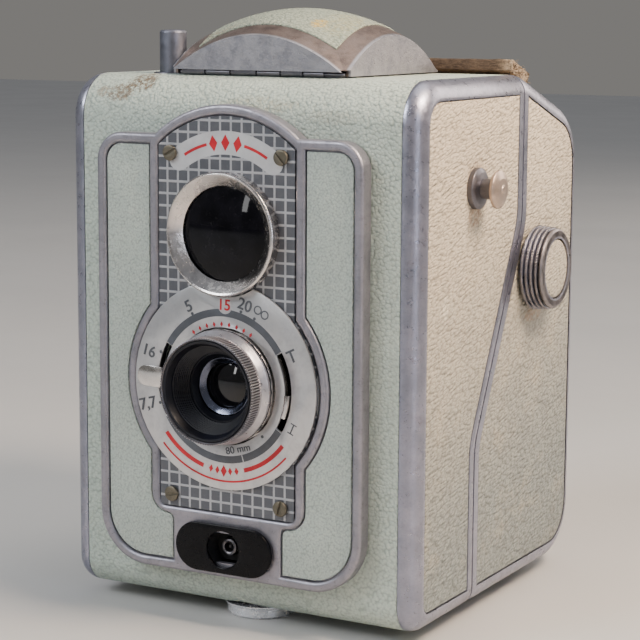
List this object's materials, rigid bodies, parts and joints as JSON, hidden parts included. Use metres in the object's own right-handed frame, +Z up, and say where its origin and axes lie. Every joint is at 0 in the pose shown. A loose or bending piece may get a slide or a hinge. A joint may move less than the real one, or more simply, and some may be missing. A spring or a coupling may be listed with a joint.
{
  "type": "box camera",
  "caption": "Box camera for roll film with a folding finder hood, round focusing lens, hinged back, side winding knob and a worn hand strap.",
  "frame": {"origin": "centre of the bounding box at its base, which is the face of the tripod bush (z = 0)", "axes": "+X to the camera's right in the front view, where the winding knob is; -Y out of the lens towards the subject; +Z up"},
  "size_m": [0.0968, 0.097, 0.1285],
  "materials": {
    "covering": "sage green pebble-grained leatherette, satin",
    "cast_metal": "satin cast aluminium, slightly pitted",
    "sheet_steel": "plain sheet steel",
    "black_paint": "matt black paint",
    "light_plate": "light satin aluminium with printed numbers",
    "dark_plate": "dark grey enamel squares between silver lines",
    "nickel": "polished nickel plate",
    "brass": "tarnished nickel-plated brass",
    "glass": "clear coated glass",
    "mirror": "front-silvered mirror",
    "bakelite": "polished black bakelite",
    "strap": "worn brown leather, torn at one end",
    "red_glass": "deep red glass"
  },
  "bodies": {
    "body": {"body_shell": "sheet_steel", "body_covering": "covering", "side_frame_right": "cast_metal", "side_frame_left": "cast_metal", "side_covering_right": "covering", "side_covering_left": "covering", "strap_stud_right": "cast_metal", "strap_stud_left": "cast_metal", "tripod_bush": "nickel", "front_trim": "cast_metal", "front_inset_right": "covering", "front_inset_left": "covering", "face_plate": "dark_plate", "face_screw_1": "brass", "face_screw_2": "brass", "face_screw_3": "brass", "face_screw_4": "brass", "dial_plate": "light_plate", "sync_plate": "bakelite", "sync_socket": "brass", "finder_bezel": "nickel", "finder_lens": "glass", "finder_case": "black_paint", "finder_mirror": "mirror", "field_glass": "glass", "hood_hinge": "sheet_steel", "lens_mount": "cast_metal", "film_chamber": "black_paint", "spool_plate_left": "sheet_steel", "spool_plate_right": "sheet_steel", "release_spring": "sheet_steel"},
    "hood": {"hood_cover": "cast_metal", "hood_covering": "covering"},
    "focus": {"focus_ring": "cast_metal", "lens_cone": "black_paint"},
    "cell": {"lens_cell": "black_paint", "front_lens": "glass"},
    "stop_lever": {"aperture_lever": "nickel"},
    "stop_plate": {"aperture_plate": "sheet_steel"},
    "time_lever": {"selector_lever": "nickel"},
    "release": {"release_button": "cast_metal"},
    "blade": {"shutter_blade": "sheet_steel"},
    "back": {"back_shell": "sheet_steel", "back_covering": "covering", "back_frame_right": "cast_metal", "back_frame_left": "cast_metal", "back_side_covering_right": "covering", "back_side_covering_left": "covering", "red_window": "red_glass", "pressure_plate": "black_paint", "carrying_strap": "strap"},
    "latch": {"back_latch": "nickel"},
    "window_cover": {"window_slide": "cast_metal"},
    "winder": {"winding_knob": "cast_metal", "knob_covering": "covering"},
    "drive": {"drive_gear": "brass"},
    "takeup": {"takeup_spool": "black_paint"},
    "supply": {"supply_spool": "black_paint"},
    "roller_top": {"film_roller_top": "nickel"},
    "roller_bottom": {"film_roller_bottom": "nickel"}
  },
  "joints": [
    {"name": "hood_hinge", "type": "hinge", "parent": "body", "child": "hood", "pos_m": [0, -0.0281, 0.1154], "axis": [1, 0, 0], "range_deg": [0, 72]},
    {"name": "focus_turn", "type": "hinge", "parent": "body", "child": "focus", "pos_m": [0, -0.0445, 0.0517], "axis": [0, -1, 0], "range_deg": [0, 60]},
    {"name": "cell_travel", "type": "slide", "parent": "body", "child": "cell", "axis": [0, 1, 0], "range_m": [0, 0.0009]},
    {"name": "aperture_turn", "type": "hinge", "parent": "body", "child": "stop_lever", "pos_m": [0, -0.0415, 0.0517], "axis": [0, -1, 0], "range_deg": [-17.5, 19.5]},
    {"name": "aperture_plate_turn", "type": "hinge", "parent": "body", "child": "stop_plate", "pos_m": [-0.013, -0.0302, 0.0427], "axis": [0, -1, 0], "range_deg": [-17.5, 19.5]},
    {"name": "selector_turn", "type": "hinge", "parent": "body", "child": "time_lever", "pos_m": [0, -0.0415, 0.0517], "axis": [0, -1, 0], "range_deg": [-10.5, 31]},
    {"name": "release_press", "type": "slide", "parent": "body", "child": "release", "axis": [0, 0, -1], "range_m": [0, 0.003], "stiffness_N_per_m": 300, "springref_m": -0.002, "deforming": ["release_spring"]},
    {"name": "blade_swing", "type": "hinge", "parent": "body", "child": "blade", "pos_m": [0.013, -0.0316, 0.0607], "axis": [0, -1, 0], "range_deg": [0, 40]},
    {"name": "back_hinge", "type": "hinge", "parent": "body", "child": "back", "pos_m": [0, -0.0089, 0.0042], "axis": [-1, 0, 0], "range_deg": [0, 100]},
    {"name": "latch_slide", "type": "slide", "parent": "back", "child": "latch", "axis": [0, 0.9468, -0.3219], "range_m": [0, 0.0025]},
    {"name": "window_slide", "type": "slide", "parent": "back", "child": "window_cover", "axis": [0, 0, 1], "range_m": [0, 0.0115]},
    {"name": "winding_turn", "type": "hinge", "parent": "back", "child": "winder", "pos_m": [0.045, 0.0205, 0.0725], "axis": [1, 0, 0], "continuous": true},
    {"name": "drive_turn", "type": "hinge", "parent": "back", "child": "drive", "pos_m": [0.036, 0.0255, 0.0907], "axis": [1, 0, 0], "continuous": true},
    {"name": "takeup_turn", "type": "hinge", "parent": "body", "child": "takeup", "pos_m": [0, 0.0255, 0.0907], "axis": [1, 0, 0], "continuous": true},
    {"name": "supply_turn", "type": "hinge", "parent": "body", "child": "supply", "pos_m": [0, 0.0135, 0.0183], "axis": [1, 0, 0], "continuous": true},
    {"name": "roller_top_turn", "type": "hinge", "parent": "body", "child": "roller_top", "pos_m": [0, 0.0391, 0.0841], "axis": [1, 0, 0], "continuous": true},
    {"name": "roller_bottom_turn", "type": "hinge", "parent": "body", "child": "roller_bottom", "pos_m": [0, 0.0391, 0.0193], "axis": [1, 0, 0], "continuous": true}
  ],
  "couplings": [
    {"joint": "cell_travel", "follows": "focus_turn", "m_per_rad": 0.00085944},
    {"joint": "aperture_plate_turn", "follows": "aperture_turn", "ratio": 1},
    {"joint": "blade_swing", "follows": "release_press", "rad_per_m": 232.71},
    {"joint": "winding_turn", "follows": "takeup_turn", "ratio": -1},
    {"joint": "drive_turn", "follows": "takeup_turn", "ratio": 1}
  ]
}
